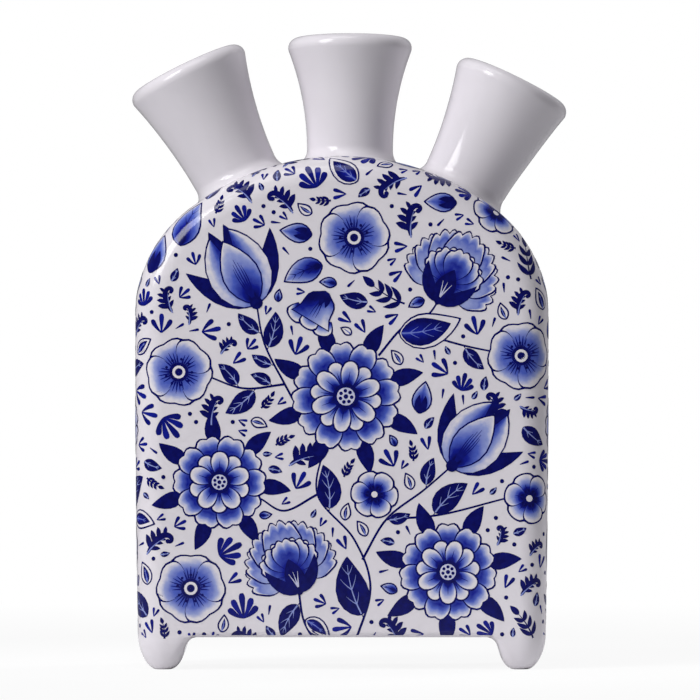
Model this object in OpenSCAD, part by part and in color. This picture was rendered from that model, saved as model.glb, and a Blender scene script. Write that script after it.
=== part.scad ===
// Tulip vase: a flat, arched flask of glazed earthenware with three flared spouts and four feet.
// The maker presses the body in two halves, throws the spouts, and lutes all of it together
// with slip before the glaze. X runs to the right, the front faces -Y, Z is up. The origin lies
// on the axis of the middle spout, in the plane that the feet rest on. Lengths are millimetres.

/* [Body] */
// Greatest width of the body, at the foot of the arch
body_width = 102; // [92:1:116]
// Depth from the front face to the back face
body_depth = 45; // [40:1:56]
// Height of the sides, from the underside to the foot of the arch
side_height = 79; // [60:1:95]
// Rise of the arch above the sides
arch_rise = 39.5; // [36:0.5:43]
// Angle above level at which the arch's crown passes into its tighter shoulders
crown_angle = 50; // [45:1:56]
// Radius of the slight bow of the two sides, which draws the body in towards the underside
side_bow = 4000; // [2000:500:10000]
// Radius of the rounded edge round the front and the back face
edge_radius = 7; // [5.5:0.5:9]
// Thickness of the pressed wall
wall = 4; // [3:0.25:5]
// Radius of the lower edge between the feet
base_round = 1.5; // [0.5:0.25:2.5]
// Sideways offset of the body from the row of spouts, where the luting has slipped
body_shift = -2; // [-3:0.5:3]

/* [Spouts] */
// Lean of the two outer spouts, in degrees
spout_lean = 26; // [15:1:30]
// Length of the left spout along its axis, from the arch to the rim
left_length = 32; // [24:0.25:40]
// Length of the middle spout
middle_length = 30.75; // [24:0.25:40]
// Length of the right spout
right_length = 31; // [24:0.25:40]
// Outer radius of the neck
neck_radius = 10.75; // [10:0.25:12]
// Outer radius of the rim
rim_radius = 15.5; // [14:0.25:17]
// Radius of the rounded lip
lip_radius = 2.1; // [1.6:0.1:2.4]
// Radius of the straight throat that a flower stem goes through
throat_radius = 7.25; // [6:0.25:8]
// Width by which the hole through the arch clears a throat all round
hole_ease = 1.25; // [0.5:0.25:2]
// Height above the arch up to which a throat is opened out to that hole
relief_height = 1; // [0.5:0.25:2]
// Height of the straight throat above the arch
throat_height = 10; // [6:0.5:14]
// Height above the arch at which the neck begins to flare
flare_start = 2.5; // [1:0.5:5]
// Radius of the slip fillet round the root of a spout
root_fillet = 2.5; // [1:0.25:3]
// Bare arch left between the fillets of two spouts
spout_gap = 1; // [0.5:0.5:4]

/* [Feet] */
// Height of the feet, from the resting plane to the underside
foot_height = 8; // [6:0.5:12]
// Distance from the sides of the body to the axis of a foot
foot_inset = 6.2; // [5.5:0.1:8]
// Radius of the flat pad that a foot stands on
pad_radius = 1.8; // [1:0.1:3]
// Radius of the rounding between the pad and the side of a foot
foot_round = 3; // [1.5:0.25:4]
// Widening of a foot towards the body, in degrees from upright
foot_taper = 15; // [5:1:20]
// Radius of the slip fillet where a foot meets the underside
foot_fillet = 1.5; // [0.5:0.25:2]

/* [Hidden] */
round_sides = 120;
flare_sides = 720;
$fn = round_sides;

// Distance by which a cutting form runs past the face that it cuts
past = 2;
// Step at which one rounded form passes into the next, so that they cross and never just graze
crease = 0.05;
glaze_white = "#dbd7dd";

// Outline of the body: bowed sides, two shoulder arcs and a crown arc, each tangent to the next
foot_of_arch = foot_height + side_height;
half_width = body_width / 2;
half_depth = body_depth / 2;
crown_lift = (1 - sin(crown_angle)) / cos(crown_angle);
shoulder_radius = (arch_rise - half_width * crown_lift) / (1 - crown_lift);
shoulder_x = half_width - shoulder_radius;
crown_drop = shoulder_x * tan(crown_angle);
crown_radius = crown_drop + arch_rise;
function half_width_at(z) =
    half_width - side_bow + sqrt(pow(side_bow, 2) - pow(foot_of_arch - z, 2));
base_half_width = round(half_width_at(foot_height) * 1000) / 1000;

// The rounded border of the body is this wide, and a flat core fills the space inside it
border = 0.8 * shoulder_radius;
core_half_width = shoulder_x + shoulder_radius / 3;
core_low_top = arch_rise - border;
core_high_top = sqrt(pow(shoulder_radius - edge_radius, 2) - pow(shoulder_radius / 3, 2));
core_top = (core_low_top + core_high_top) / 2;

// Roots of the spouts, where their axes go through the arch
spout_spread = 2 * (neck_radius + root_fillet) + spout_gap;
function arch_height_at(x) =
    foot_of_arch - crown_drop + sqrt(pow(crown_radius, 2) - pow(x - body_shift, 2));

// Fall of the arch at the edge of a spout's fillet
root_sag = pow(neck_radius + root_fillet, 2) / (2 * crown_radius);
root_depth = 3 * root_sag + past;
hole_radius = throat_radius + hole_ease;
lip_centre_radius = rim_radius - lip_radius;

// A foot's side rises from the end of its rounding, at the taper
foot_side_start = [pad_radius, foot_round]
    + (foot_round - crease) * [cos(foot_taper), -sin(foot_taper)];
function foot_radius_at(z) = foot_side_start.x + (z - foot_side_start.y) * tan(foot_taper);
foot_flare_radius = foot_radius_at(foot_height - foot_fillet) + foot_fillet / cos(foot_taper);
foot_x = base_half_width - foot_inset;
foot_y = half_depth - foot_inset;

// Moves by a rounded length and then by the rest, so that a worked-out length keeps its digits
module place(offset) {
    rounded = [for (length = offset) round(length * 1000) / 1000];
    translate(rounded) translate(offset - rounded) children();
}

// Section across the border, with its outer face at x = 0 and the seam at y = 0. The front edge
// is rounded, and so is the back edge of the whole form; a half ends flat behind the seam.
module border_section(inset, behind, whole) {
    depth = half_depth - inset;
    edge = edge_radius - inset;
    face_end = whole ? depth - edge : behind;
    core_end = whole ? depth : behind;
    translate([-border, -face_end]) square([border, depth - edge + face_end]);
    translate([-border, -core_end]) square([border - edge, depth + core_end]);
    for (y = whole ? [depth - edge, edge - depth] : [depth - edge])
        translate([-edge, y]) circle(edge, $fn = round_sides);
}

// A stretch of the border, bent along an arc that ends at its radius less the inset
module border_arc(radius, from, turn, inset, behind, whole) {
    rotate_extrude(start = from, angle = turn, $fn = 4 * radius)
        place([radius - inset, 0]) border_section(inset, behind, whole);
}

// The arched form inside a constant inset, from behind the seam to the front, or whole
module arched_form(inset, behind, whole = false) {
    depth = half_depth - inset;
    back = whole ? depth : behind;
    side_turn = 2 * asin(side_height / side_bow);
    floor_z = foot_height + inset;
    difference() {
        translate([body_shift, 0, foot_of_arch]) rotate([90, 0, 0]) {
            place([0, -crown_drop])
                border_arc(crown_radius, crown_angle, 180 - 2 * crown_angle, inset, behind, whole);
            for (side = [0, 1]) mirror([side, 0, 0]) {
                place([shoulder_x, 0])
                    border_arc(shoulder_radius, 0, crown_angle, inset, behind, whole);
                translate([half_width - side_bow, 0])
                    border_arc(side_bow, -side_turn, side_turn, inset, behind, whole);
            }
            translate([-core_half_width, -2 * side_height, -back])
                cube([2 * core_half_width, 2 * side_height + core_top, depth + back]);
        }
        translate([body_shift - body_width, -body_depth, floor_z - 2 * side_height])
            cube([2 * body_width, 2 * body_depth, 2 * side_height]);
    }
}

// Corner that a rounded edge takes away
module corner_waste(radius) {
    difference() {
        translate([-past, -past]) square(radius + past);
        translate([radius, radius]) circle(radius);
    }
}

// Rounding of the lower edges, which stops where the feet flow into the body
module lower_edge_waste() {
    front_run = 2 * (foot_x - foot_flare_radius);
    side_run = foot_y - foot_flare_radius;
    translate([body_shift - front_run / 2, -half_depth, foot_height])
        rotate([90, 0, 90]) linear_extrude(front_run) corner_waste(base_round);
    for (side = [0, 1]) translate([body_shift, 0, foot_height]) mirror([side, 0, 0])
        translate([-half_width_at(foot_height + base_round) - crease, -side_run, 0])
            rotate([90, 0, 0]) mirror([0, 0, 1]) linear_extrude(side_run + past) corner_waste(base_round);
}

// Places a spout's own frame: its root on the arch, its axis along Z
module at_spout(side) {
    x = side * spout_spread;
    translate([x, 0, arch_height_at(x)]) rotate([0, side * spout_lean, 0]) children();
}

module half_shell() {
    difference() {
        arched_form(0, 0);
        arched_form(wall, past);
        lower_edge_waste();
        for (side = [-1, 0, 1]) at_spout(side)
            translate([0, 0, -3 * wall]) cylinder(r = hole_radius, h = 3 * wall + root_depth);
    }
}

// Half section of a spout: straight throat, flared wall and rounded lip. Both faces of the wall
// are arcs that would just touch a bead a little smaller than the lip, so the lip stands proud.
module spout_section(length) {
    lip_z = length - lip_radius;
    bead = lip_radius - crease;
    outer_run = lip_centre_radius - neck_radius;
    outer_rise = lip_z - flare_start;
    outer_arc = (pow(outer_rise, 2) + pow(outer_run, 2) - pow(bead, 2)) / (2 * (outer_run + bead));
    outer_end = lip_z - bead * outer_rise / (outer_arc + bead);
    inner_run = lip_centre_radius - throat_radius;
    inner_rise = lip_z - throat_height;
    inner_arc = (pow(inner_rise, 2) + pow(inner_run, 2) - pow(bead, 2)) / (2 * (inner_run - bead));
    inner_end = lip_z + bead * inner_rise / (inner_arc - bead);
    difference() {
        union() {
            translate([0, -root_depth]) square([neck_radius, root_depth + flare_start + past]);
            translate([0, flare_start]) difference() {
                square([rim_radius, outer_end - flare_start]);
                translate([neck_radius + outer_arc, 0]) circle(outer_arc, $fn = flare_sides);
            }
            translate([0, outer_end - lip_radius])
                square([lip_centre_radius, inner_end - outer_end + lip_radius]);
            root_flange();
        }
        translate([0, -root_depth - past]) square([throat_radius, root_depth + past + length]);
        translate([0, -root_depth - past]) square([hole_radius, root_depth + past + relief_height]);
        translate([0, throat_height]) difference() {
            square([lip_centre_radius, length]);
            translate([throat_radius + inner_arc, 0]) circle(inner_arc, $fn = flare_sides);
        }
    }
    translate([lip_centre_radius, lip_z]) circle(lip_radius);
}

// Slip fillet round the root, drawn down part of the way that the arch falls
module root_flange() {
    fillet_centre = root_fillet - 0.6 * root_sag;
    flange_radius = neck_radius + root_fillet;
    difference() {
        translate([0, -root_depth]) square([flange_radius, root_depth + fillet_centre]);
        translate([flange_radius, fillet_centre]) circle(root_fillet + crease);
    }
}

// A thrown spout, its root cut to the curve of the arch
module spout(side, length) {
    difference() {
        at_spout(side) rotate_extrude() spout_section(length);
        arched_form(0, 0, whole = true);
    }
}

// Half section of a foot: flat pad, rounding, tapered side and fillet
module foot_section() {
    fillet_z = foot_height - foot_fillet;
    fillet_start = fillet_z + foot_fillet * sin(foot_taper);
    square([pad_radius, foot_height]);
    intersection() {
        translate([pad_radius, foot_round]) circle(foot_round);
        square([pad_radius + foot_round, foot_round]);
    }
    polygon([
        [0, foot_side_start.y], foot_side_start,
        [foot_radius_at(foot_height), foot_height], [0, foot_height]
    ]);
    difference() {
        translate([0, fillet_start]) square([foot_flare_radius, foot_height - fillet_start]);
        translate([foot_flare_radius, fillet_z]) circle(foot_fillet + crease);
    }
}

// Plan of the underside, which a foot's fillet does not pass
module base_plan() {
    straight_x = base_half_width - edge_radius;
    straight_y = half_depth - edge_radius;
    square([2 * straight_x, body_depth], center = true);
    square([2 * base_half_width, 2 * straight_y], center = true);
    for (x = [-straight_x, straight_x], y = [-straight_y, straight_y])
        translate([x, y]) circle(edge_radius);
}

module foot(side, face) {
    translate([body_shift, 0, 0]) intersection() {
        translate([side * foot_x, face * foot_y, 0]) rotate_extrude() foot_section();
        linear_extrude(foot_height) base_plan();
    }
}

module front_shell() { color(glaze_white) half_shell(); }
module back_shell() { color(glaze_white) mirror([0, 1, 0]) half_shell(); }
module left_spout() { color(glaze_white) spout(-1, left_length); }
module middle_spout() { color(glaze_white) spout(0, middle_length); }
module right_spout() { color(glaze_white) spout(1, right_length); }
module front_left_foot() { color(glaze_white) foot(-1, -1); }
module front_right_foot() { color(glaze_white) foot(1, -1); }
module back_left_foot() { color(glaze_white) foot(-1, 1); }
module back_right_foot() { color(glaze_white) foot(1, 1); }

front_shell();
back_shell();
left_spout();
middle_spout();
right_spout();
front_left_foot();
front_right_foot();
back_left_foot();
back_right_foot();
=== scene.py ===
import math
import random

import bpy
import numpy as np
from mathutils import Matrix, Vector


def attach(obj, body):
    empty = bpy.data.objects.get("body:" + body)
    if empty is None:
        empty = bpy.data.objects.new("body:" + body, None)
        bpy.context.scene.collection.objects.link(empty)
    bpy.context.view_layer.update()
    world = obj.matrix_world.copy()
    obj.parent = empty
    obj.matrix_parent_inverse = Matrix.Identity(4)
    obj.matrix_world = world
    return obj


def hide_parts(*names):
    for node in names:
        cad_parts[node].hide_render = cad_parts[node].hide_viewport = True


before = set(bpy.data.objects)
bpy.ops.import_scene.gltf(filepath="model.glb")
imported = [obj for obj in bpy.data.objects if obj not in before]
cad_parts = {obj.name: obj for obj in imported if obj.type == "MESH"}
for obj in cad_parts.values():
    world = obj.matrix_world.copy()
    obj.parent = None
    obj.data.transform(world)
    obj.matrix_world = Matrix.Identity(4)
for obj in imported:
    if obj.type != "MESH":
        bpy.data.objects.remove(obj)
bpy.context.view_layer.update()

# Glaze
# One clear gloss coat over a cool white body, a little wavy and uneven where it pooled.
glaze_tints = ((0.3, (0.70, 0.668, 0.71, 1)), (0.7, (0.745, 0.712, 0.755, 1)))


def set_inputs(node, values):
    """Gives inputs of a node a value each, or links them to another node's output."""
    for entry, value in values.items():
        if isinstance(value, bpy.types.NodeSocket):
            node.id_data.links.new(value, node.inputs[entry])
        else:
            node.inputs[entry].default_value = value


def add_node(tree, kind, output, values=None, **settings):
    """Adds a shader node and returns one of its outputs."""
    node = tree.nodes.new("ShaderNode" + kind)
    for name, value in settings.items():
        setattr(node, name, value)
    set_inputs(node, values or {})
    return node.outputs[output]


def add_ramp(tree, strength, stops):
    """Adds a colour ramp with the given positions and colours, from low to high."""
    colour_out = add_node(tree, "ValToRGB", "Color", {"Fac": strength})
    ramp = colour_out.node.color_ramp.elements
    for k in (0, -1):
        ramp[k].position, ramp[k].color = stops[k]
    for position, colour in stops[1:-1]:
        ramp.new(position).color = colour
    return colour_out


def glaze_group():
    group = bpy.data.node_groups.new("glaze_surface", "ShaderNodeTree")
    for socket in ("Pooling", "Roughness", "Height"):
        group.interface.new_socket(socket, in_out="OUTPUT", socket_type="NodeSocketFloat")
    place = add_node(group, "TexCoord", "Object")
    pool = add_node(group, "TexNoise", "Fac", {"Vector": place, "Scale": 38, "Detail": 3})
    gloss = add_node(group, "MapRange", "Result", {"Value": pool, "To Min": 0.07, "To Max": 0.15})
    wave = add_node(group, "TexNoise", "Fac", {"Vector": place, "Scale": 95, "Detail": 1})
    out = group.nodes.new("NodeGroupOutput")
    set_inputs(out, {"Pooling": pool, "Roughness": gloss, "Height": wave})
    return group


glaze_surface = glaze_group()


def glaze_base(name):
    """A material with the glaze's gloss and waves, its shader, and the tint of its white."""
    material = bpy.data.materials.new(name)
    material.use_nodes = True
    tree = material.node_tree
    pool = add_node(tree, "Group", "Pooling", node_tree=glaze_surface)
    surface = pool.node.outputs
    bumps = {"Height": surface["Height"], "Strength": 0.12, "Distance": 0.0004}
    gloss = {
        "IOR": 1.5,
        "Specular IOR Level": 0.32,
        "Roughness": surface["Roughness"],
        "Normal": add_node(tree, "Bump", "Normal", bumps),
    }
    shader = tree.nodes["Principled BSDF"]
    set_inputs(shader, gloss)
    return material, tree, shader, add_ramp(tree, pool, glaze_tints)


white_glaze, tree, shader, tint = glaze_base("white_glaze")
set_inputs(shader, {"Base Color": tint})


def glaze_piece(piece, node):
    """Glazes a piece that stands for a node of the solid model."""
    piece.data.materials.clear()
    piece.data.materials.append(white_glaze)
    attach(piece, "root")
    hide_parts(node)


# Body shells
# Two press-moulded halves of white earthenware, open along the middle plane, luted together
# there and dipped in one clear glaze. The edge round each face is soft, and the wall is 4 mm.
# Lengths are in millimetres until MM turns them into metres.
MM = 0.001
slack = 0.01
body_shift = -2.0
half_width = 51.0
half_depth = 22.36
foot_height = 8.0
foot_of_arch = 87.0
arch_rise = 39.5
crown_angle = math.radians(50)
side_bow = 4000.0
edge_radius = 7.0
wall = 4.0
base_round = 1.5
foot_reach = 13.9
outline_low = -30.0
side_points, shoulder_points, crown_points = 20, 30, 41
edge_segments, base_segments = 24, 6
shell_angle = 35

crown_lift = (1 - math.sin(crown_angle)) / math.cos(crown_angle)
shoulder_radius = (arch_rise - half_width * crown_lift) / (1 - crown_lift)
shoulder_x = half_width - shoulder_radius
crown_drop = shoulder_x * math.tan(crown_angle)
crown_radius = crown_drop + arch_rise
crown_z = foot_of_arch - crown_drop


def half_width_at(z):
    return half_width - side_bow + np.sqrt(side_bow**2 - (foot_of_arch - z) ** 2)


def arch_outline():
    heights = np.linspace(outline_low, foot_of_arch, side_points, endpoint=False)
    side = [(half_width_at(z), z) for z in heights]
    shoulder = [
        (shoulder_x + shoulder_radius * math.cos(a), foot_of_arch + shoulder_radius * math.sin(a))
        for a in np.linspace(0, crown_angle, shoulder_points, endpoint=False)
    ]
    crown = [
        (crown_radius * math.cos(a), crown_z + crown_radius * math.sin(a))
        for a in np.linspace(crown_angle, math.pi / 2, crown_points)
    ]
    right = side + shoulder + crown
    left = [(-x, z) for x, z in reversed(right[:-1])]
    return [(body_shift + x, z) for x, z in right + left]


def arch_height(x):
    offset = abs(x - body_shift)
    if offset <= crown_radius * math.cos(crown_angle):
        return crown_z + math.sqrt(crown_radius**2 - offset**2)
    return foot_of_arch + math.sqrt(max(shoulder_radius**2 - (offset - shoulder_x) ** 2, 0))


def make_active(piece):
    bpy.ops.object.select_all(action="DESELECT")
    piece.select_set(True)
    bpy.context.view_layer.objects.active = piece


def start_edit(piece):
    make_active(piece)
    bpy.ops.object.mode_set(mode="EDIT")


def end_edit():
    bpy.ops.object.mode_set(mode="OBJECT")


def select_mesh():
    bpy.ops.mesh.select_all(action="SELECT")


def pick_edges(piece, wanted):
    bpy.ops.mesh.select_mode(type="EDGE")
    bpy.ops.mesh.select_all(action="DESELECT")
    end_edit()
    for edge in piece.data.edges:
        ends = [piece.data.vertices[i].co / MM for i in edge.vertices]
        edge.select = wanted(*ends)
    bpy.ops.object.mode_set(mode="EDIT")


def apply_modifier(piece, kind, **settings):
    make_active(piece)
    modifier = piece.modifiers.new(kind.lower(), kind)
    for name, value in settings.items():
        setattr(modifier, name, value)
    bpy.ops.object.modifier_apply(modifier=modifier.name)


def smooth(piece, angle):
    make_active(piece)
    bpy.ops.object.shade_smooth_by_angle(angle=math.radians(angle))


def own_copy(piece, name):
    twin = piece.copy()
    twin.data = piece.data.copy()
    twin.name = twin.data.name = name
    bpy.context.scene.collection.objects.link(twin)
    return twin


def outline_piece(points, y=0.0, fill="NOTHING"):
    """A closed outline in an upright plane, made from a circle."""
    bpy.ops.mesh.primitive_circle_add(vertices=len(points), fill_type=fill)
    piece = bpy.context.object
    for vertex, (x, z) in zip(piece.data.vertices, points):
        vertex.co = (x * MM, y * MM, z * MM)
    return piece


spout_lean = math.radians(26)
spout_spread = 27.5
spout_sides = (-1, 0, 1)
hole_radius = 8.5
hole_depth = 16.0
hole_sink = 2.0


def spout_place(side):
    x = side * spout_spread
    place = Matrix.Translation((x * MM, 0, arch_height(x) * MM))
    return place @ Matrix.Rotation(side * spout_lean, 4, "Y")


body = outline_piece(arch_outline(), -half_depth, "NGON")
start_edit(body)
select_mesh()
bpy.ops.mesh.extrude_region_move(TRANSFORM_OT_translate={"value": (0, 2 * half_depth * MM, 0)})
select_mesh()
bpy.ops.mesh.normals_make_consistent(inside=False)
pick_edges(body, lambda a, b: abs(a.y - b.y) < slack)
bpy.ops.mesh.bevel(
    offset=edge_radius * MM, segments=edge_segments, affect="EDGES", clamp_overlap=False
)
select_mesh()
bpy.ops.mesh.bisect(
    plane_co=(0, 0, foot_height * MM), plane_no=(0, 0, 1), use_fill=True, clear_inner=True
)
end_edit()
apply_modifier(body, "SOLIDIFY", thickness=wall * MM, offset=-1, use_even_offset=True)

# The lower edge is rounded between the feet only, so cuts are laid where the feet begin.
start_edit(body)
corner_x = half_width_at(foot_height) - foot_reach
corner_y = half_depth - foot_reach
for cut, normal in (
    ((body_shift - corner_x, 0, 0), (1, 0, 0)),
    ((body_shift + corner_x, 0, 0), (1, 0, 0)),
    ((0, -corner_y, 0), (0, 1, 0)),
    ((0, corner_y, 0), (0, 1, 0)),
):
    select_mesh()
    bpy.ops.mesh.bisect(plane_co=[c * MM for c in cut], plane_no=normal)


def free_lower_edge(a, b):
    if max(a.z, b.z) > foot_height + slack:
        return False
    x = [abs(end.x - body_shift) for end in (a, b)]
    y = [abs(end.y) for end in (a, b)]
    on_face = min(y) > half_depth - slack and max(x) < corner_x + slack
    on_side = min(x) > half_width_at(foot_height) - slack and max(y) < corner_y + slack
    return bool(on_face or on_side)


pick_edges(body, free_lower_edge)
bpy.ops.mesh.bevel(offset=base_round * MM, segments=base_segments, affect="EDGES")
end_edit()

for side in spout_sides:
    bpy.ops.mesh.primitive_cylinder_add(vertices=64, radius=hole_radius * MM, depth=hole_depth * MM)
    cutter = bpy.context.object
    cutter.data.transform(spout_place(side) @ Matrix.Translation((0, 0, -hole_sink * MM)))
    apply_modifier(body, "BOOLEAN", object=cutter, operation="DIFFERENCE", solver="EXACT")
    bpy.data.objects.remove(cutter, do_unlink=True)

for name, cleared in (("front_shell", "clear_outer"), ("back_shell", "clear_inner")):
    shell = own_copy(body, name.replace("shell", "half"))
    start_edit(shell)
    select_mesh()
    bpy.ops.mesh.bisect(plane_co=(0, 0, 0), plane_no=(0, 1, 0), use_fill=True, **{cleared: True})
    end_edit()
    smooth(shell, shell_angle)
    apply_modifier(shell, "WEIGHTED_NORMAL", keep_sharp=True, weight=50)
    glaze_piece(shell, name)
bpy.data.objects.remove(body, do_unlink=True)

# Spouts
# Three thrown necks of the same clay, flared to a rounded lip. Each root is cut to the arch and
# luted over its hole, and the slip round the joint is wiped to a small fillet.
neck_radius = 10.75
rim_radius = 15.49
lip_radius = 2.5
throat_radius = 7.25
throat_height, throat_low = 10.0, 4.0
hole_top, hole_low = 1.0, -2.0
flare_start = 2.5
root_fillet = 3.2
coping_height = 7.0
coping_rounds, coping_share = 12, 0.9
seat_sink = 0.04
draw_power = 2.3
turn_steps = 96
weld = 0.002
turned_angle = 40
# Side of the arch, length, fullness of the flare, sag of the axis and how far the upper side of
# the rim is drawn in, as each came off the wheel.
spouts = {
    "left_spout": (-1, 31.9, 0.35, 0.15, 0.0),
    "middle_spout": (0, 30.75, 0.0, 0.0, 0.0),
    "right_spout": (1, 30.9, 0.5, 0.55, 1.1),
}


def arc(cx, cz, radius, start, end, steps):
    angles = np.linspace(math.radians(start), math.radians(end), steps)
    return [(cx + radius * math.cos(a), cz + radius * math.sin(a)) for a in angles]


def spout_profile(length, fullness):
    lip_r, lip_z = rim_radius - lip_radius, length - lip_radius
    rise, run = lip_z - flare_start, lip_r - neck_radius
    outer = (rise**2 + run**2 - lip_radius**2) / (2 * (run + lip_radius))
    outer_turn = math.degrees(math.asin(rise / (outer + lip_radius)))
    rise_in, run_in = lip_z - throat_height, lip_r - throat_radius
    inner = (rise_in**2 + run_in**2 - lip_radius**2) / (2 * (run_in - lip_radius))
    inner_turn = math.degrees(math.asin(rise_in / (inner - lip_radius)))
    fillet = arc(neck_radius + root_fillet, root_fillet, root_fillet, 270, 180, 10)
    flare = arc(neck_radius + outer, flare_start, outer, 180, 180 - outer_turn, 22)
    swell = np.sin(np.linspace(0, math.pi, len(flare))) * fullness
    flare = [(r + out, z) for (r, z), out in zip(flare, swell)]
    lip = arc(lip_r, lip_z, lip_radius, -outer_turn, 180 - inner_turn, 18)
    inside = arc(throat_radius + inner, throat_height, inner, 180 - inner_turn, 180, 20)
    root = [(throat_radius, throat_low), (throat_radius, hole_top)]
    root += [(hole_radius, hole_top), (hole_radius, hole_low)]
    return fillet + flare[1:] + lip[1:] + inside[1:] + root


def arch_below(place, x, y):
    """How far the arch lies from a point of a spout's root, along the spout."""
    drop = 0.0
    for _ in range(coping_rounds):
        spot = place @ Vector((x * MM, y * MM, drop * MM))
        drop -= (spot.z / MM - arch_height(spot.x / MM)) * coping_share
    return drop


def turned_piece(profile):
    """Spins a closed profile of radii and heights round the upright axis."""
    piece = outline_piece(profile)
    start_edit(piece)
    pick_edges(piece, lambda a, b: max(a.x, b.x) < slack)
    bpy.ops.mesh.delete(type="EDGE_FACE")
    select_mesh()
    bpy.ops.mesh.spin(steps=turn_steps, angle=2 * math.pi, center=(0, 0, 0), axis=(0, 0, 1))
    select_mesh()
    bpy.ops.mesh.remove_doubles(threshold=weld * MM)
    bpy.ops.mesh.normals_make_consistent(inside=False)
    end_edit()
    return piece


for name, (side, length, fullness, sag, drawn_in) in spouts.items():
    spout = turned_piece(spout_profile(length, fullness))
    spout.name = spout.data.name = name.replace("spout", "neck")
    place = spout_place(side)
    for vertex in spout.data.vertices:
        x, y, z = vertex.co / MM
        along = min(max(z / length, 0), 1)
        upper = max(-side * x / rim_radius, 0)
        shift = sag * math.sin(math.pi * along) + drawn_in * upper * along**draw_power
        vertex.co.x += side * shift * MM
        share = min(max(1 - z / coping_height, 0), 1)
        if share > 0 and math.hypot(x, y) > neck_radius - slack:
            drop = arch_below(place, x, y) * share * share * (3 - 2 * share)
            vertex.co.z += (drop - seat_sink) * MM
    spout.data.transform(place)
    smooth(spout, turned_angle)
    glaze_piece(spout, name)

# Feet
# Four solid corner feet, pressed with the halves and trimmed with a wet sponge. Their outer
# sides run on from the body, and a small fillet leads into the underside.
foot_inset = 6.2
pad_radius = 1.8
foot_fillet = 3.0
foot_core, foot_root = 4.0, 2.0
foot_steps = 32
outer_lean = 0.3
pad_squareness, squareness_gain = 2.4, 5.0
# Share by which the inner sides of the front and of the back feet are slimmer.
inner_slim = {-1: 0.07, 1: 0.2}


def foot_fall(z, outward):
    """Share of the way from the pad to the body's plan, upright where the foot leaves the body."""
    power = 2 - outer_lean * max(outward, 0)
    return (1 - (1 - min(z / foot_height, 1)) ** power) ** (1 / power)


def foot_squareness(z):
    """Exponent of the plan: nearly square under the body and round at the pad."""
    return pad_squareness + squareness_gain * (z / foot_height) ** 2


def foot_profile():
    heights = foot_height * (1 - np.cos(np.linspace(0, math.pi / 2, foot_steps)))
    side = [(pad_radius + (foot_inset - pad_radius) * foot_fall(z, 0), z) for z in heights]
    top = foot_height + foot_root
    return [(0, 0)] + side + [(foot_core, top), (0, top)]


def foot_spot(x, y, z, side, face):
    """Gives a turned foot the body's outer corner and lets its inner sides run out above."""
    turn = math.hypot(x, y)
    if turn < slack or z > foot_height + slack:
        return x, y
    u, w = side * x / turn, face * y / turn
    fall = foot_fall(z, u)
    back = edge_radius - foot_inset
    corner = math.sqrt((back * (u + w)) ** 2 + edge_radius**2 - 2 * back**2) - back * (u + w)
    if corner * min(u, w) > -back:
        reach = pad_radius + (corner - pad_radius) * fall
    else:
        power = foot_squareness(z)
        square = (abs(u) ** power + abs(w) ** power) ** (-1 / power)
        reach = (pad_radius + (foot_inset - pad_radius) * fall) * square
    rise = max(z - foot_height + foot_fillet, 0)
    run_out = foot_fillet - math.sqrt(max(foot_fillet**2 - rise**2, 0))
    inner_u, inner_w = max(-u, 0), max(-w, 0)
    x = reach * u * (1 - inner_slim[face] * inner_u) - run_out * inner_u
    y = reach * w * (1 - inner_slim[face] * inner_w) - run_out * inner_w
    return side * x, face * y


foot_turned = turned_piece(foot_profile())
foot_x = half_width_at(foot_height) - foot_inset
foot_y = half_depth - foot_inset
for name, side, face in (
    ("front_left_foot", -1, -1),
    ("front_right_foot", 1, -1),
    ("back_left_foot", -1, 1),
    ("back_right_foot", 1, 1),
):
    foot = own_copy(foot_turned, name.replace("foot", "stand"))
    for vertex in foot.data.vertices:
        x, y, z = vertex.co / MM
        x, y = foot_spot(x, y, z, side, face)
        x, y = side * foot_x + x, face * foot_y + y
        vertex.co = ((body_shift + x) * MM, y * MM, z * MM)
    smooth(foot, turned_angle)
    glaze_piece(foot, name)
bpy.data.objects.remove(foot_turned, do_unlink=True)

# Cobalt print
# A transfer of garden flowers, leaves and stems in cobalt blue, laid on both faces before the
# glaze. It runs round the soft edges to the seam, and the lower edge and the spouts cut it off.
fine_line = 0.4
stem_width = 0.3
navy, paper = 0.97, 0.0
leaf_span = (1 - np.cos(np.linspace(0, math.pi, 11))) / 2
leaf_kinds = ("solid", "rimmed", "open")
# Layers far thinner than the glaze: a stroke lies over those of a lower level.
first_layer, layer_height = 0.03, 0.005
overlap_step, overlap_steps = 0.0002, 12
# Longest steps of a patch near the curves: along it, round the edge and round the lower edge.
length_step, edge_step, base_step = 1.6, 0.5, 0.3
curve_margin, base_margin = 0.5, 2.0
# Field of cells that keeps account of the ground already drawn on.
cell = 0.5
field_low, field_high = np.array((-74.0, 2.0)), np.array((74.0, 150.0))
field_shape = ((field_high - field_low) / cell).astype(int)
# Where the print ends: at the seam, above the lower edge, on the feet and round the spouts.
seam_distance, seam_gap = 26.1, 0.03
lowest_ground, lower_edge = 6.5, 0.45
foot_drop, foot_front, foot_blend = 1.9, 5.6, 2.5
motif_spout_gap, print_spout_gap, spout_depth = 13.4, 12.4, 10.0
# Gaps that leaves on stems and small strokes keep from what is drawn already.
first_leaf, leaf_pitch = 3.0, 4.2
stem_gap, leaf_gap = 0.6, 0.8
fill_margin, fill_gap, fill_tries = 0.6, 0.55, 400
atlas_margin = 0.08
least_cross = 1e-18
patches = []


def add(points, tone, level):
    lift = first_layer + layer_height * level + overlap_step * (len(patches) % overlap_steps)
    patches.append((points, np.broadcast_to(np.asarray(tone, float), points.shape[:2]), lift))


def turned(x, y, at, turn):
    c, s = math.cos(turn), math.sin(turn)
    return np.stack([at[0] + c * x - s * y, at[1] + s * x + c * y], -1)


def ahead(at, turn, distance):
    return (at[0] - math.sin(turn) * distance, at[1] + math.cos(turn) * distance)


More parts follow.
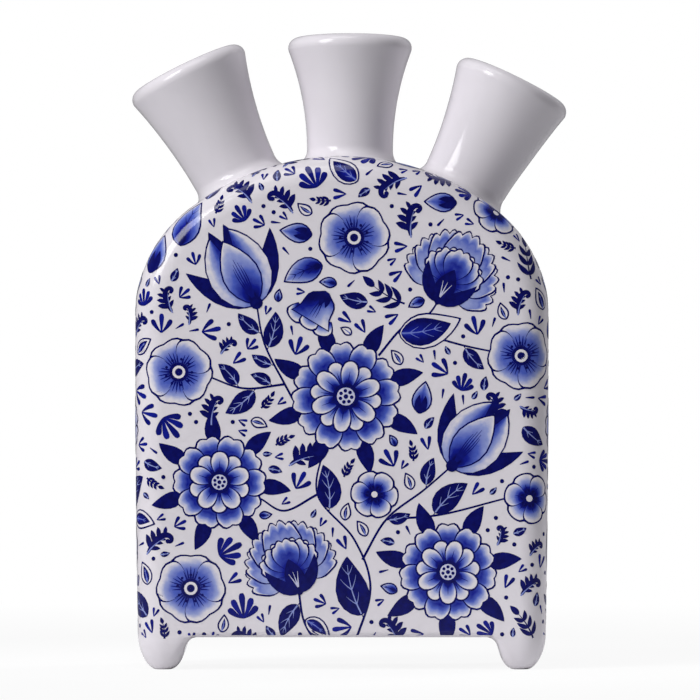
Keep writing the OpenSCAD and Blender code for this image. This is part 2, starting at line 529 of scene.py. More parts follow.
def bow(at, turn, length, bend, spans=leaf_span):
    """Points along an arc that sets out in one direction and turns by the bend."""
    bend = bend if abs(bend) > 1e-3 else 1e-3
    reach = length / bend
    x = at[0] + reach * (np.cos(turn + bend * spans) - math.cos(turn))
    y = at[1] + reach * (np.sin(turn + bend * spans) - math.sin(turn))
    return np.stack([x, y], -1)


def strip(path, half, tone, level, u=(-1.0, 1.0)):
    """A band along a path, with half widths, and one tone or a tone across and along."""
    along = np.gradient(path, axis=0)
    along /= np.maximum(np.linalg.norm(along, axis=1, keepdims=True), 1e-9)
    side = np.stack([along[:, 1], -along[:, 0]], 1)
    u = np.asarray(u, float)
    points = path[None] + u[:, None, None] * half[None, :, None] * side[None]
    if callable(tone):
        tone = tone(u[:, None], np.linspace(0, 1, len(path))[None])
    add(points, tone, level)


def disc(at, radius, tone, level, sides):
    angles = np.linspace(0, 2 * math.pi, sides + 1)
    radii = np.array([0.02, 1.0]) * radius
    x, y = radii[:, None] * np.cos(angles)[None], radii[:, None] * np.sin(angles)[None]
    add(turned(x, y, at, 0), tone, level)


def hair(at, turn, length, bend, width, tone, level, points=4):
    """A fine brush line that thins out."""
    path = bow(at, turn, length, bend, np.linspace(0, 1, points))
    strip(path, np.linspace(width, 0.2 * width, points), tone, level)


def fade(x, width):
    return np.exp(-((x / width) ** 2))


def unit(x):
    return np.clip(x, 0, 1)


# Washes: tones across a petal or leaf, u from -1 to 1, and along it, v from 0 to 1.
def deep_wash(u, v):
    return fade(v, 0.5) + 0.5 * fade(v - 0.62, 0.22) * (1 - 0.5 * u**2)


def pale_wash(u, v):
    return 0.85 * fade(v, 0.46) + 0.38 * (1 - u**2) * unit(1.25 - 1.2 * v)


def rim_wash(u, v):
    rim = 0.6 * unit((v - 0.5) * 2.2) * (1 - 0.4 * u**2)
    return fade(v, 0.42) + rim - 0.55 * unit((v - 0.9) * 10)


def shade_right(u, v):
    return np.clip(0.5 + 0.6 * u, 0.1, 0.95) * (1 - 0.3 * v) + 0.45 * fade(v, 0.25)


def shade_left(u, v):
    return shade_right(-u, v)


def bell_wash(u, v):
    return shade_right(u, v) + 0.3 * (1 - v)


def halo_wash(u, v):
    return 0.62 * fade(v, 0.5) + 0.3 * fade(v - 0.55, 0.26) * (1 - 0.6 * u**2)


def dark_heart(u, v):
    return navy - 0.42 * fade(u, 0.4) * unit(1.2 - 1.5 * v)


def leaf_blush(u, v):
    return 0.98 * fade(v, 0.55) * (1 - 0.4 * u**2) + 0.3 * (1 - np.abs(u))


# Motifs: their numbers are shares of a motif's own size, angles in radians, tones and levels.
def petal(at, turn, length, width, tone, level, notch=0.0, waist=0.3, teeth=0):
    """A broad petal with a rounded, notched or toothed end, over its dark outline."""
    u = np.linspace(-1, 1, 17 if teeth else 9)[:, None]
    v = np.linspace(0, 1, 8)[None]
    tip = 0.68 + 0.32 * np.sqrt(1 - 0.98 * u**2) - notch * fade(u, 0.3)
    if teeth:
        tip = tip - 0.09 * (1 - np.abs(np.sin(u * math.pi * teeth / 2)))
    broad = waist + (1 - waist) * np.sin(math.pi * 0.6 * v)
    outline = turned(u * (width + fine_line) * broad, v * (length * tip + fine_line), at, turn)
    add(outline, navy, level)
    add(turned(u * width * broad, v * length * tip, at, turn), tone(u, v), level + 1)


def blade(at, turn, length, width, bend, tone, level, fullness=0.75):
    """A pointed petal or leaf along a bow."""
    across = np.linspace(-1, 1, 7) if callable(tone) else (-1.0, 1.0)
    shape = np.sin(math.pi * leaf_span**fullness) ** 0.85
    strip(bow(at, turn, length, bend), shape * width, tone, level, across)


def pointed(at, turn, length, width, bend, tone, level, fullness=0.75):
    """A blade over its dark outline."""
    outer, longer = ahead(at, turn, -fine_line), length + 2.5 * fine_line
    blade(outer, turn, longer, width + fine_line, bend, navy, level, fullness)
    blade(at, turn, length, width, bend, tone, level + 1, fullness)


def veins(at, turn, length, width, bend, tone, level, pairs, reach=0.86):
    middle = bow(at, turn, length * reach, bend * reach, np.linspace(0.03, 1, 8))
    strip(middle, np.linspace(0.19, 0.05, 8), tone, level)
    for k in range(pairs):
        share = 0.2 + 0.5 * k / max(pairs - 1, 1)
        root = bow(at, turn, length, bend, np.array([share]))[0]
        run = 0.95 * width * math.sin(math.pi * share**0.75)
        for side in (-1, 1):
            hair(root, turn + bend * share + side * 0.7, run, -side * 0.3, 0.12, tone, level)


def leaf(at, turn, length, width, bend, kind):
    """A pointed leaf: solid with pale veins, rimmed with a white edge, or open with a blush."""
    pairs = 3 if length > 8 else 2
    if kind == "solid":
        blade(at, turn, length, width, bend, navy, 3)
        veins(at, turn, length, width, bend, 0.3, 5, pairs)
    elif kind == "rimmed":
        pointed(at, turn, length, width, bend, paper, 2)
        inner, slim = ahead(at, turn, 0.2), width - 0.6
        blade(inner, turn, length * 0.84, slim, bend * 0.84, dark_heart, 5)
        veins(at, turn, length * 0.8, slim, bend * 0.8, 0.42, 6, pairs)
    else:
        pointed(at, turn, length, width, bend, leaf_blush, 2)
        veins(at, turn, length, width, bend, navy, 5, pairs, 0.7)


def ways(count, turn):
    """Directions of the members of a ring."""
    return [turn + k * 2 * math.pi / count for k in range(count)]


def petal_level(first, k, count):
    """Level of a petal in a ring, so that it never shares one with its neighbours."""
    return first + 2 * (k % 2) + 4 * (count % 2 and k == count - 1)


def collar(at, radius, count, turn, length, width):
    """Dark leaves that show from behind a flower."""
    for way in ways(count, turn):
        root = ahead(at, way, radius - 0.62 * length)
        blade(root, way + 0.2, length, width, -0.4, navy, 1)


def aster(at, radius, count, turn):
    """An open flower of two rings of petals round a dotted eye."""
    for k, way in enumerate(ways(count, turn)):
        root, level = ahead(at, way, 0.34 * radius), petal_level(3, k, count)
        petal(root, way, 0.66 * radius, 2.7 * radius / count, deep_wash, level, notch=0.1)
    for k, way in enumerate(ways(count, turn + math.pi / count)):
        root, level = ahead(at, way, 0.12 * radius), petal_level(9, k, count)
        petal(root, way, 0.52 * radius, 1.75 * radius / count, pale_wash, level)
        hair(ahead(at, way, 0.22 * radius), way, 0.24 * radius, 0, 0.18, 0.9, 15)
    disc(at, 0.24 * radius, navy, 16, 20)
    disc(at, 0.165 * radius, 0.14, 17, 16)
    for way in ways(7, turn):
        disc(ahead(at, way, 0.105 * radius), 0.036 * radius, navy, 18, 7)
    disc(at, 0.045 * radius, navy, 18, 8)


def anemone(at, radius, turn):
    """A flower of five broad petals with streaks round a dark heart."""
    for k, way in enumerate(ways(5, turn)):
        root, level = ahead(at, way, 0.1 * radius), petal_level(3, k, 5)
        petal(root, way, 0.9 * radius, 0.6 * radius, halo_wash, level, notch=0.07, waist=0.2)
        for j in range(-2, 3):
            streak, run = way + j * 0.2, radius * (0.36 - 0.05 * abs(j))
            hair(ahead(at, streak, 0.3 * radius), streak, run, 0, 0.24, 0.9, 9)
    disc(at, 0.3 * radius, navy, 10, 16)
    disc(at, 0.2 * radius, 0.04, 11, 14)
    disc(at, 0.12 * radius, navy, 12, 12)
    for way in ways(9, turn):
        disc(ahead(at, way, 0.4 * radius), 0.045 * radius, navy, 11, 7)


def rosette(at, radius, count, turn):
    """A small open flower of round petals."""
    for k, way in enumerate(ways(count, turn)):
        root, level = ahead(at, way, 0.16 * radius), petal_level(3, k, count)
        petal(root, way, 0.84 * radius, 2.6 * radius / count, pale_wash, level, waist=0.2)
        hair(ahead(at, way, 0.28 * radius), way, 0.32 * radius, 0, 0.18, 0.9, 9)
    disc(at, 0.28 * radius, navy, 10, 14)
    disc(at, 0.14 * radius, 0.05, 11, 10)


def carnation(at, radius, turn):
    """A fan of toothed petals over a cup with sepals, seen from the side."""
    for k in (-3, 3, -2, 2, -1, 1, 0):
        length, level = radius * (1 - 0.04 * abs(k)), 9 - 2 * abs(k)
        petal(at, turn + k * 0.46, length, 0.36 * radius, rim_wash, level, waist=0.12, teeth=4)
    for k in (-2, 2, -1, 1, 0):
        way, level = turn + k * 0.44, 15 - 2 * abs(k)
        petal(at, way, 0.64 * radius, 0.25 * radius, deep_wash, level, waist=0.12, teeth=3)
    root = ahead(at, turn, -0.4 * radius)
    for side in (-1, 1):
        blade(root, turn + side * 1.15, 0.8 * radius, 0.12 * radius, -side * 0.9, navy, 17)
    root = ahead(at, turn, -0.46 * radius)
    blade(root, turn, 0.72 * radius, 0.19 * radius, 0, navy, 18, fullness=0.9)
    for k in (-1, 0, 1):
        hair(ahead(at, turn, -0.3 * radius), turn + k * 0.3, 0.3 * radius, 0, 0.2, 0.15, 19)


def tulip(at, height, turn):
    """A tulip from the side: two dark petals behind, two bowed ones and a veined one in front."""
    for side in (-1, 1):
        way, bend = turn + side * 0.2, -side * 0.2
        pointed(at, way, 1.02 * height, 0.17 * height, bend, dark_heart, 4 + side)
        blade(at, turn + side * 0.95, 0.95 * height, 0.14 * height, -side * 0.55, navy, 2)
    for side, shade in ((-1, shade_left), (1, shade_right)):
        pointed(at, turn + side * 0.66, height, 0.2 * height, -side * 1.05, shade, 8 + side)
    pointed(at, turn, 0.84 * height, 0.22 * height, 0, pale_wash, 11, fullness=0.85)
    root = ahead(at, turn, 0.05 * height)
    for k in range(-2, 3):
        run = height * (0.55 - 0.05 * abs(k))
        hair(root, turn + k * 0.17, run, -k * 0.22, 0.26, 0.88, 13, 6)
    disc(at, 0.08 * height, navy, 14, 12)


def bellflower(at, turn, size):
    """A hanging bell with a scalloped mouth."""
    spans = np.linspace(0, 1, 8)
    half = size * np.array([0.1, 0.3, 0.38, 0.4, 0.41, 0.43, 0.49, 0.56])
    mouth = ahead(at, turn, 0.62 * size)
    for k in (-1, 0, 1):
        root = ahead(mouth, turn - math.pi / 2, 0.34 * size * k)
        level = 3 + 2 * (k == 0)
        petal(root, turn - k * 0.35, 0.42 * size, 0.24 * size, pale_wash, level, waist=0.7)
    outer = bow(ahead(at, turn, -0.03 * size), turn, 0.86 * size, 0, spans)
    strip(outer, half + fine_line, navy, 7)
    inner = bow(at, turn, 0.8 * size, 0, spans)
    strip(inner, half, bell_wash, 8, np.linspace(-1, 1, 7))
    for k in (-1, 0, 1):
        hair(ahead(at, turn, 0.1 * size), turn - k * 0.3, 0.6 * size, k * 0.3, 0.2, 0.9, 9)
    root = ahead(at, turn, -0.08 * size)
    for side in (-1, 0, 1):
        blade(root, turn + side * 0.8, 0.45 * size, 0.09 * size, -side * 0.8, navy, 11)


def bud(at, turn, length):
    pointed(at, turn, length, 0.3 * length, 0, leaf_blush, 4)
    root = ahead(at, turn, -0.06 * length)
    for side in (-1, 1):
        blade(root, turn + side * 0.5, 0.66 * length, 0.12 * length, -side * 0.7, navy, 7)


def sprig(at, turn, length, bend):
    """A short stem with pairs of small solid leaves and one at the end."""
    pairs, run = 3, 0.8 * length
    hair(at, turn, run, bend, 0.26, navy, 0, 9)
    for k in range(pairs):
        share = 0.12 + 0.78 * k / pairs
        root = bow(at, turn, run, bend, np.array([share]))[0]
        reach, width = length * (0.38 - 0.05 * k), length * 0.05 + 0.1
        for side in (-1, 1):
            blade(root, turn + bend * share + side * 0.95, reach, width, -side * 0.6, navy, 2)
    tip = bow(at, turn, run, bend, np.array([0.9]))[0]
    blade(tip, turn + bend, length * 0.32, length * 0.07 + 0.1, 0, navy, 2)


def scroll(at, turn, length, way):
    """A dark leaf that rolls up at its end, with lobes along its outer side."""
    spans = np.linspace(0, 1, 30)
    heading = turn + way * (0.3 * spans + 4.6 * spans**3.2)
    stride = length * (1.25 - 0.75 * spans)[:, None] / 26
    steps = np.stack([-np.sin(heading), np.cos(heading)], 1) * stride
    line = np.asarray(at) + np.cumsum(steps, 0)
    strip(line, 0.25 + length * 0.045 * np.sin(math.pi * (0.05 + 0.9 * spans) ** 0.8), navy, 2)
    disc(line[-1], 0.055 * length, navy, 3, 12)
    for k in range(4):
        root, way_on = line[2 + 4 * k], heading[2 + 4 * k]
        lobe = length * (0.38 - 0.05 * k)
        blade(root, way_on - way * 0.5, lobe, lobe * 0.2, -way * 0.7, navy, 3, 1.15)
        if k < 3:
            blade(root, way_on + way * 0.55, lobe * 0.75, lobe * 0.14, way * 0.7, navy, 3, 1.1)
    hair(at, turn + way * 0.05, length * 0.6, way * 0.5, 0.2, 0.35, 5, 8)


def drops(at, turn, length, count):
    """Brush strokes fanned from one point, each thick at its far end."""
    spread = 0.85 if count < 5 else 0.62
    swell = (0.12 + 0.88 * leaf_span) * np.sqrt(1 - unit((leaf_span - 0.72) / 0.29) ** 2)
    for k in range(count):
        side = k - (count - 1) / 2
        reach = length * (1 - 0.14 * abs(side))
        path = bow(at, turn + side * spread, reach, -side * 0.5 * spread)
        strip(path, swell * 0.15 * length + 0.05, 0.9 - 0.1 * (k % 2), 1)


def curve(points):
    """A smooth line through the given points."""
    points = np.asarray(points, float)
    ends = np.vstack([2 * points[0] - points[1], points, 2 * points[-1] - points[-2]])
    t = np.linspace(0, 1, 10, endpoint=False)[:, None]
    line = []
    for a, b, c, d in zip(ends[:-3], ends[1:-2], ends[2:-1], ends[3:]):
        square, cube = 2 * a - 5 * b + 4 * c - d, 3 * b - a - 3 * c + d
        line.append(b + 0.5 * ((c - a) * t + square * t**2 + cube * t**3))
    return np.vstack(line + [points[-1:]])


def stem(line):
    strip(line, stem_width * np.linspace(1, 0.7, len(line)), navy, 0)


def edge_distance(p, q):
    """Distance from the flat of the face, measured over the rounded edge, and its direction."""
    crown = (q > crown_z) & (np.abs(p) * math.tan(crown_angle) < q - crown_z)
    side = (q <= foot_of_arch) & ~crown
    way = np.where(p < 0, -1.0, 1.0)
    off_p = p - np.where(crown, 0, way * shoulder_x)
    off_q = q - np.where(crown, crown_z, foot_of_arch)
    reach = np.maximum(np.hypot(off_p, off_q), 1e-6)
    bowed = half_width_at(q)
    flat = np.where(crown, crown_radius, shoulder_radius) - edge_radius
    distance = np.where(side, np.abs(p) - bowed + edge_radius, reach - flat)
    return distance, np.where(side, way, off_p / reach), np.where(side, 0, off_q / reach)


def wrap(p, q, lift):
    """Lays points of the drawing on the front half: face, rounded edge, side wall."""
    from_foot = np.abs(np.abs(p) - foot_x)
    over_foot = unit((foot_front - from_foot) / foot_blend)
    q = np.maximum(q, foot_height + lower_edge - foot_drop * over_foot)
    distance, way_p, way_q = edge_distance(p, q)
    out = np.maximum(distance, 0)
    angle = np.minimum(out / edge_radius, math.pi / 2)
    past = np.clip(out - edge_radius * math.pi / 2, 0, half_depth - edge_radius - seam_gap)
    rounded = (edge_radius + lift) * np.sin(angle)
    x = p - way_p * out + way_p * rounded
    z = q - way_q * out + way_q * rounded
    y = -half_depth + edge_radius - (edge_radius + lift) * np.cos(angle) + past
    low = unit((foot_height + base_round - q) / base_round) * (np.abs(p) < corner_x)
    z = np.where(low > 0, foot_height + base_round - (base_round + lift) * np.sin(low), z)
    y = y + (base_round + lift) * (1 - np.cos(low)) * (out <= 0)
    share = np.clip(from_foot / foot_inset, 0, 0.999)
    power = foot_squareness(foot_height)
    y = y + foot_inset * (1 - (1 - share**power) ** (1 / power)) * (q < foot_height) * (out <= 0)
    return np.stack([body_shift + x, y, z], -1) * MM


def under_spout(spots, radius):
    hidden = np.zeros(spots.shape[:-1], bool)
    for side in spout_sides:
        inner = np.array(spout_place(side).inverted())
        own = spots @ inner[:3, :3].T + inner[:3, 3]
        beside = np.hypot(own[..., 0], own[..., 1]) < radius * MM
        hidden |= beside & (own[..., 2] > -spout_depth * MM)
    return hidden


centres = [field_low[k] + cell * (np.arange(field_shape[k]) + 0.5) for k in (0, 1)]
grid_p, grid_q = np.meshgrid(*centres, indexing="ij")
closed = (edge_distance(grid_p, grid_q)[0] > seam_distance) | (grid_q < lowest_ground)
closed |= under_spout(wrap(grid_p, grid_q, 0), motif_spout_gap)
taken = closed.copy()


def cells_of(made):
    """The cells of the field that patches cover."""
    found = []
    for points, _, _ in made:
        a, b, c, d = points[:-1, :-1], points[1:, :-1], points[:-1, 1:], points[1:, 1:]
        n = 2 + int(np.abs(b - a).max() / cell)
        m = 2 + int(np.abs(c - a).max() / cell)
        u = np.linspace(0, 1, n)[:, None, None, None, None]
        v = np.linspace(0, 1, m)[None, :, None, None, None]
        found.append(((1 - u) * ((1 - v) * a + v * c) + u * ((1 - v) * b + v * d)).reshape(-1, 2))
    where = np.unique(((np.vstack(found) - field_low) / cell).astype(int), axis=0)
    return where[(where >= 0).all(1) & (where < field_shape).all(1)]


def set_down(motif, *details, ground=None):
    """Draws a motif, unless the ground given is taken there, and returns the cells it takes."""
    first = len(patches)
    motif(*details)
    where = cells_of(patches[first:])
    if ground is not None and (not len(where) or ground[tuple(where.T)].any()):
        del patches[first:]
        return None
    taken[tuple(where.T)] = True
    return where


def block(ground, where, radius):
    """Marks every cell within a radius of the given cells."""
    steps = np.arange(-int(radius / cell) - 1, int(radius / cell) + 2)
    near = np.stack(np.meshgrid(steps, steps), -1).reshape(-1, 2)
    near = near[np.hypot(*near.T) * cell <= radius]
    spread = (where[:, None] + near[None]).reshape(-1, 2)
    spread = spread[(spread >= 0).all(1) & (spread < field_shape).all(1)]
    ground[tuple(spread.T)] = True


def ground_near(gap):
    """The cells within a gap of what is drawn already."""
    ground = np.zeros(field_shape, bool)
    block(ground, np.argwhere(taken), gap)
    return ground


def dress_stems(lines, seed):
    """Sets leaves by turns along the stems, where the ground beside them is free."""
    chance = random.Random(seed)
    ground = ground_near(stem_gap)
    curves = [curve(line) for line in lines]
    for line in curves:
        set_down(stem, line)
    for line in curves:
        run = np.concatenate([[0], np.cumsum(np.linalg.norm(np.diff(line, axis=0), axis=1))])
        side = chance.choice((-1, 1))
        for spot in np.arange(first_leaf, run[-1], leaf_pitch):
            at = np.array([np.interp(spot, run, line[:, k]) for k in (0, 1)])
            on = np.array([np.interp(spot + 0.3, run, line[:, k]) for k in (0, 1)]) - at
            way = math.atan2(-on[0], on[1])
            side = -side
            for length in (15.0, 13.0, 11.0, 9.0, 7.0, 5.5):
                kind = chance.choice(("solid", "rimmed", "solid", "open"))
                root, turn = ahead(at, way + side * 0.9, 0.75), way + side * 0.85
                first = len(patches)
                hair(at, way + side * 0.9, 0.9, 0, 0.22, navy, 0)
                shape = (length, length * 0.27, -side * 0.5, kind)
                where = set_down(leaf, root, turn, *shape, ground=ground)
                if where is not None:
                    block(ground, where, leaf_gap)
                    break
                del patches[first:]


def fill_ground(seed):
    """Fills the free ground, widest gaps first, with small flowers, leaves and strokes."""
    chance = random.Random(seed)
    plans = (
        (6.6, ("scroll", "rosette", "leaf", "bellflower", "scroll", "sprig", "leaf")),
        (5.4, ("scroll", "leaf", "sprig", "leaf", "bud")),
        (4.2, ("leaf", "scroll", "drops5", "leaf", "bud")),
        (3.2, ("drops3", "leaf", "drops5", "sprig")),
        (2.4, ("leaf", "drops3", "leaf", "drops2")),
        (1.8, ("leaf", "drops1", "dot", "drops2")),
    )
    for radius, kinds in plans:
        size = radius - fill_margin
        ground, near = ground_near(radius), ground_near(fill_gap)
        for attempt in range(fill_tries):
            free = np.argwhere(~ground)
            if not len(free):
                break
            spot = free[chance.randrange(len(free))]
            p, q = at = field_low + cell * (spot + 0.5)
            way = 1.1 * math.sin(p / 15 + 0.7) + 1.2 * math.cos(q / 17) + chance.uniform(-0.7, 0.7)
            side = chance.choice((-1, 1))
            back, long = ahead(at, way, -size), 2 * size
            # Each entry is made only when it is chosen, because two of them draw a chance.
            draw = {
                "rosette": lambda: (rosette, at, size, chance.choice((5, 6)), way),
                "scroll": lambda: (scroll, ahead(at, way, -0.9 * size), way, 1.75 * size, side),
                "bellflower": lambda: (bellflower, back, way, 1.9 * size),
                "leaf": lambda: (
                    leaf, back, way, long, size * 0.58, side * 0.45, chance.choice(leaf_kinds)
                ),
                "sprig": lambda: (sprig, back, way, long, side * 0.4),
                "bud": lambda: (bud, back, way, long),
                "drops5": lambda: (drops, ahead(at, way, -0.7 * size), way, 1.7 * size, 5),
                "drops3": lambda: (drops, ahead(at, way, -0.8 * size), way, 1.8 * size, 3),
                "drops2": lambda: (drops, back, way, long, 2),
                "drops1": lambda: (drops, back, way, long, 1),
                "dot": lambda: (disc, at, 0.55, navy, 1, 9),
            }
            where = set_down(*draw[kinds[attempt % len(kinds)]](), ground=near)
            if where is None:
                where = spot[None]
            block(ground, where, radius)
            block(near, where, fill_gap)


def finer(points, tone):
    """Splits a patch across the body's curves, finely enough for layers not to cut each other."""
    edge_end = edge_radius * math.pi / 2
    base_end = foot_height + base_round
    for axis in (0, 1):
        distance = edge_distance(points[..., 0], points[..., 1])[0]
        low = points[..., 1] < base_end + curve_margin
        if distance.max() < -curve_margin and not low.any():
            continue
        n = points.shape[axis]
        length = np.linalg.norm(np.diff(points, axis=axis), axis=-1).max()
        around = np.abs(np.diff(np.clip(distance, 0, edge_end), axis=axis)).max()
        base = np.clip(points[..., 1], foot_height - base_margin, base_end)
        under = np.abs(np.diff(base, axis=axis)).max()
        parts = math.ceil(max(length / length_step, around / edge_step, under / base_step))
        if parts > 1:
            place = np.linspace(0, n - 1, (n - 1) * parts + 1)
            first = np.minimum(place.astype(int), n - 2)
            share = (place - first).reshape((-1, 1) if axis == 0 else (1, -1))
            ends = [np.take(points, first + k, axis=axis) for k in (0, 1)]
            tones = [np.take(tone, first + k, axis=axis) for k in (0, 1)]
            points = ends[0] * (1 - share[..., None]) + ends[1] * share[..., None]
            tone = tones[0] * (1 - share) + tones[1] * share
    return points, tone


def lay_print(name, back):
    """Makes one mesh of all the patches, on the front or turned round to the back."""
    graded = np.array([np.ptp(tone) > 0.01 for _, tone, _ in patches])
    tiles = np.cumsum(graded) * graded
    rows = math.ceil(math.sqrt(tiles.max() + 1))
    spots, tones, faces, uvs = [], [], [], []
    count = 0
    for place, (points, tone, lift) in zip(tiles, patches):
        points, tone = finer(points, tone)
        n, m = points.shape[:2]
        flat = wrap(points[..., 0], points[..., 1], lift).reshape(-1, 3)
        hidden = under_spout(flat, print_spout_gap)
        first = np.stack(np.meshgrid(np.arange(n - 1), np.arange(m - 1), indexing="ij"), -1)
        corners = first.reshape(-1, 1, 2) + np.array(((0, 0), (1, 0), (1, 1), (0, 1)))
        quads = corners[..., 0] * m + corners[..., 1]
        a, b, c, d = (flat[quads[:, j]] for j in range(4))
        keep = (np.cross(c - a, d - b) ** 2).sum(1) > least_cross
        keep &= ~hidden[quads].any(1)
        tile = np.array([place % rows, place // rows]) + atlas_margin
        inside = corners[keep] / (n - 1, m - 1) * (1 - 2 * atlas_margin)
        faces.append(quads[keep] + count)
        uvs.append(((tile + inside) / rows).reshape(-1, 2))
        spots.append(flat)
        tones.append(tone.reshape(-1))
        count += len(flat)
    spots = np.vstack(spots)
    if back:
        spots = spots * (-1, -1, 1) + (2 * body_shift * MM, 0, 0)
    mesh = bpy.data.meshes.new(name)
    mesh.from_pydata(spots.tolist(), [], np.vstack(faces).tolist())
    mesh.attributes.new("tone", "FLOAT", "POINT").data.foreach_set("value", np.concatenate(tones))
    mesh.uv_layers.new(name="OFBake").data.foreach_set("uv", np.vstack(uvs).ravel())
    piece = bpy.data.objects.new(name, mesh)
    bpy.context.scene.collection.objects.link(piece)
    start_edit(piece)
    select_mesh()
    bpy.ops.mesh.delete_loose()
    end_edit()
    piece.data.shade_smooth()
    piece.data.materials.append(cobalt_print)
    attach(piece, "root")
    patches.clear()
    taken[:] = closed


def linear(*colour):
    """A colour of 0 to 255 in the linear values that a node takes."""
    parts = [c / 255 for c in colour]
    return [c / 12.92 if c <= 0.04 else ((c + 0.055) / 1.055) ** 2.4 for c in parts] + [1]


cobalt_print, tree, shader, tint = glaze_base("cobalt_print")
tone = add_node(tree, "Attribute", "Fac", attribute_name="tone")
place = add_node(tree, "TexCoord", "Object")
grain = add_node(tree, "TexNoise", "Fac", {"Vector": place, "Scale": 700, "Detail": 3})
spread = add_node(tree, "Math", "Value", {0: grain, 1: 0.2, 2: -0.1}, operation="MULTIPLY_ADD")
strength = add_node(tree, "Math", "Value", {0: tone, 1: spread}, operation="ADD")
inks = add_ramp(tree, strength, (
    (0.06, (1, 1, 1, 1)),
    (0.24, linear(172, 188, 240)),
    (0.5, linear(86, 110, 212)),
    (0.76, linear(14, 30, 158)),
    (1.0, linear(0, 1, 92)),
))
layers = {"Factor": 1, "A": tint, "B": inks}
under = add_node(tree, "Mix", "Result", layers, data_type="RGBA", blend_type="MULTIPLY")
set_inputs(shader, {"Base Color": under})

# Front of the print: the flowers and stems stand where the drawing puts them, and leaves and
# small strokes fill the ground between.
set_down(collar, (1, 67), 16.5, 8, 0.3, 9, 2.1)
set_down(aster, (1, 67), 13.5, 12, 0.1)
set_down(tulip, (-21, 90), 20, 0.5)
set_down(carnation, (26, 95), 13.5, -0.5)
set_down(collar, (-30, 46), 14.5, 7, 0.1, 8.5, 2.0)
set_down(aster, (-30, 46), 11.5, 10, 0.3)
set_down(tulip, (27, 50), 19, -0.7)
set_down(carnation, (-12, 24), 13, 0.35)
set_down(collar, (26, 24), 15, 7, 0.4, 9, 2.1)
set_down(aster, (26, 24), 12, 11, 0.0)
set_down(anemone, (3, 106), 8.5, 0.2)
set_down(anemone, (-40, 73), 8.0, 0.5)
set_down(anemone, (44, 77), 8.0, 0.1)
set_down(anemone, (-37, 20), 8.2, 0.0)
set_down(rosette, (8, 43), 5.6, 6, 0.4)
set_down(rosette, (46, 42), 6.0, 6, 0.3)
set_down(bellflower, (-4, 92), 2.6, 9)
set_down(scroll, (-13, 50), -0.9, 11, -1)
set_down(scroll, (14, 6), 0.2, 10, 1)
set_down(scroll, (-21, 5), 0.6, 9, 1)
set_down(scroll, (-32, 60), 0.1, 9.5, -1)
set_down(scroll, (17, 106), 0.2, 11, -1)
set_down(scroll, (-12, 112), 0.5, 10, 1)
set_down(scroll, (37, 61), -0.3, 9, 1)
for side in (-1, 1):
    set_down(aster, (side * 60, 60), 8.5, 9, 0.2)
    set_down(anemone, (side * 60, 30), 7.5, 0.2)
    set_down(carnation, (side * 58, 94), 8.5, -side * 0.5)
dress_stems([
    [(3, 6), (7, 20), (3, 32), (-6, 43), (-4, 56)],
    [(-9, 61), (-14, 70), (-19, 80), (-21, 90)],
    [(5, 27), (11, 37), (20, 44), (27, 50)],
    [(-10.6, 19.5), (-9.3, 12), (-6, 6)],
    [(-6, 43), (-14, 39), (-20, 42)],
    [(9, 77), (15, 84), (21, 87), (24, 91)],
    [(-2, 78), (-5, 85), (-4, 92)],
    [(15, 84), (28, 80), (37, 78)],
    [(-14, 70), (-24, 69), (-33, 72)],
    [(11, 37), (24, 38), (40, 42)],
], 5)
fill_ground(11)
lay_print("front_print", False)

# Back of the print: the same flowers in another order, set down after the front.
set_down(collar, (-23, 88), 15.5, 8, 0.2, 9, 2.1)
set_down(aster, (-23, 88), 12.5, 11, 0.2)
set_down(carnation, (2, 60), 14.5, 0.1)
set_down(tulip, (24, 84), 20, -0.35)
set_down(collar, (26, 35), 15, 7, 0.2, 9, 2.1)
set_down(aster, (26, 35), 12.2, 12, 0.1)
set_down(tulip, (-25, 33), 19, 0.55)
set_down(carnation, (-3, 20), 11.5, -0.3)
set_down(anemone, (3, 104), 8.5, 0.4)
set_down(anemone, (44, 64), 8.2, 0.2)
set_down(anemone, (-43, 60), 8.0, 0.6)
set_down(anemone, (-40, 16), 7.8, 0.1)
set_down(anemone, (43, 14), 7.6, 0.3)
set_down(rosette, (18, 60), 5.8, 6, 0.2)
set_down(rosette, (-20, 62), 5.8, 5, 0.1)
set_down(rosette, (38, 92), 5.6, 6, 0.0)
set_down(bellflower, (2, 82), -0.5, 9)
set_down(scroll, (14, 96), -0.5, 10, 1)
set_down(scroll, (-12, 106), 0.9, 10, -1)
set_down(scroll, (10, 10), -0.4, 10, -1)
set_down(scroll, (-36, 72), 0.2, 9, 1)
for side in (-1, 1):
    set_down(carnation, (side * 60, 60), 8.5, -side * 0.3)
    set_down(aster, (side * 60, 30), 8.0, 9, 0.2)
    set_down(anemone, (side * 58, 96), 7.5, 0.3)
dress_stems([
    [(8, 6), (9, 24), (6, 40), (2, 53)],
    [(6, 40), (-8, 44), (-14, 70), (-20, 78)],
    [(6, 68), (14, 72), (21, 76), (24, 84)],
    [(9, 24), (14, 28), (17, 32)],
    [(-8, 44), (-16, 36), (-24, 33)],
    [(-2, 72), (0, 78), (2, 82)],
    [(-14, 70), (-26, 66), (-36, 62)],
    [(14, 72), (26, 68), (37, 65)],
    [(21, 76), (30, 84), (36, 89)],
], 9)
fill_ground(23)
lay_print("back_print", True)

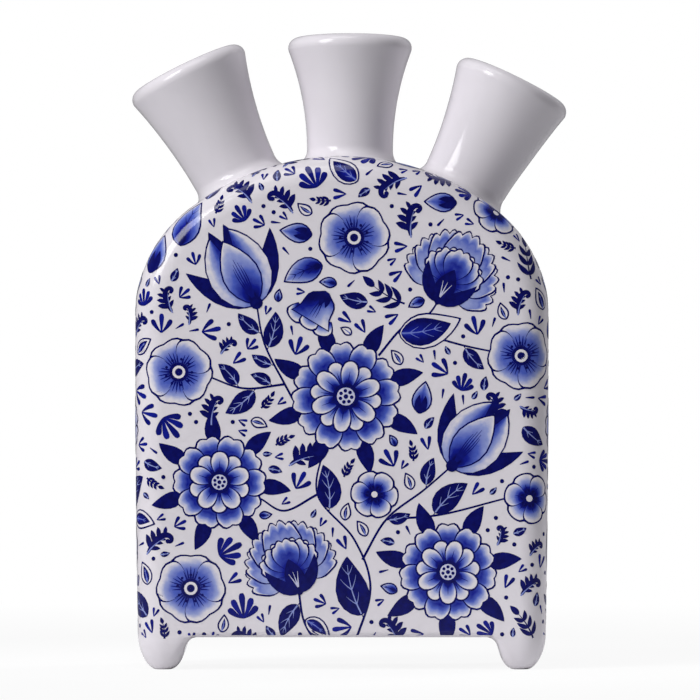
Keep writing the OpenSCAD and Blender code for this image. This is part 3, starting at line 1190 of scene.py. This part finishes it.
# Stage
# A plain white table top and white surroundings, with one large soft lamp at the left, a soft
# light from above and one from behind at the right. The table looks white to the camera, and
# away from the vase it throws back less light.
bpy.ops.mesh.primitive_plane_add(size=6)
floor = bpy.context.object
floor.name = "table_top"
table_white = bpy.data.materials.new("table_white")
table_white.use_nodes = True
tree = table_white.node_tree
place = add_node(tree, "TexCoord", "Object")
reach = add_node(tree, "VectorMath", "Value", {0: place}, operation="LENGTH")
span = {"Value": reach, "From Min": 0.12, "From Max": 0.5, "To Min": 0.9, "To Max": 1.0}
paling = add_node(tree, "MapRange", "Result", span)
sheet = add_ramp(tree, reach, ((0.09, (0.9, 0.9, 0.9, 1)), (0.2, (0.45, 0.45, 0.45, 1))))
shader = tree.nodes["Principled BSDF"]
set_inputs(shader, {"Base Color": sheet, "Roughness": 0.9, "Specular IOR Level": 0})
glow = add_node(tree, "Emission", "Emission", {"Strength": 1})
to_camera = add_node(tree, "LightPath", "Is Camera Ray")
seen = add_node(tree, "Math", "Value", {0: to_camera, 1: paling}, operation="MULTIPLY")
looks = {"Fac": seen, 1: shader.outputs["BSDF"], 2: glow}
blend = add_node(tree, "MixShader", "Shader", looks)
set_inputs(tree.nodes["Material Output"], {"Surface": blend})
floor.data.materials.append(table_white)

world = bpy.data.worlds.new("white_room")
bpy.context.scene.world = world
world.use_nodes = True
tree = world.node_tree
room = tree.nodes["Background"]
set_inputs(room, {"Color": (0.93, 0.94, 1.0, 1), "Strength": 0.16})
white = add_node(tree, "Background", "Background", {"Color": (1, 1, 1, 1), "Strength": 1})
to_camera = add_node(tree, "LightPath", "Is Camera Ray")
looks = {"Fac": to_camera, 1: room.outputs["Background"], 2: white}
blend = add_node(tree, "MixShader", "Shader", looks)
set_inputs(tree.nodes["World Output"], {"Surface": blend})


def set_up(name, data, place, target):
    """Puts a lamp or camera at a place in metres and aims it at a target."""
    holder = bpy.data.objects.new(name, data)
    bpy.context.scene.collection.objects.link(holder)
    turn = (Vector(target) - Vector(place)).to_track_quat("-Z", "Y")
    holder.matrix_world = Matrix.Translation(place) @ turn.to_matrix().to_4x4()
    return holder


# Place, target, width, height, power, and whether the glaze mirrors the lamp.
for name, place, target, width, height, power, mirrored in (
    ("left_softbox", (-0.82, -0.7, 0.74), (0, 0, 0.08), 0.5, 0.75, 12.5, True),
    ("top_softbox", (-0.2, -0.35, 1.1), (0, 0, 0.1), 0.6, 0.5, 2.6, True),
    ("back_softbox", (0.8, 0.75, 0.6), (0, 0, 0.08), 0.5, 0.6, 8, False),
):
    lamp = bpy.data.lights.new(name, "AREA")
    lamp.shape = "RECTANGLE"
    lamp.size, lamp.size_y = width, height
    lamp.energy = power
    set_up(name, lamp, place, target).visible_glossy = mirrored

camera = bpy.data.cameras.new("camera")
camera.sensor_width = 36
camera.lens = 226
camera.clip_start = 0.05
bpy.context.scene.camera = set_up("camera", camera, (0, -1.1, 0.05), (0, 0, 0.079))
bpy.context.scene.view_settings.view_transform = "Standard"
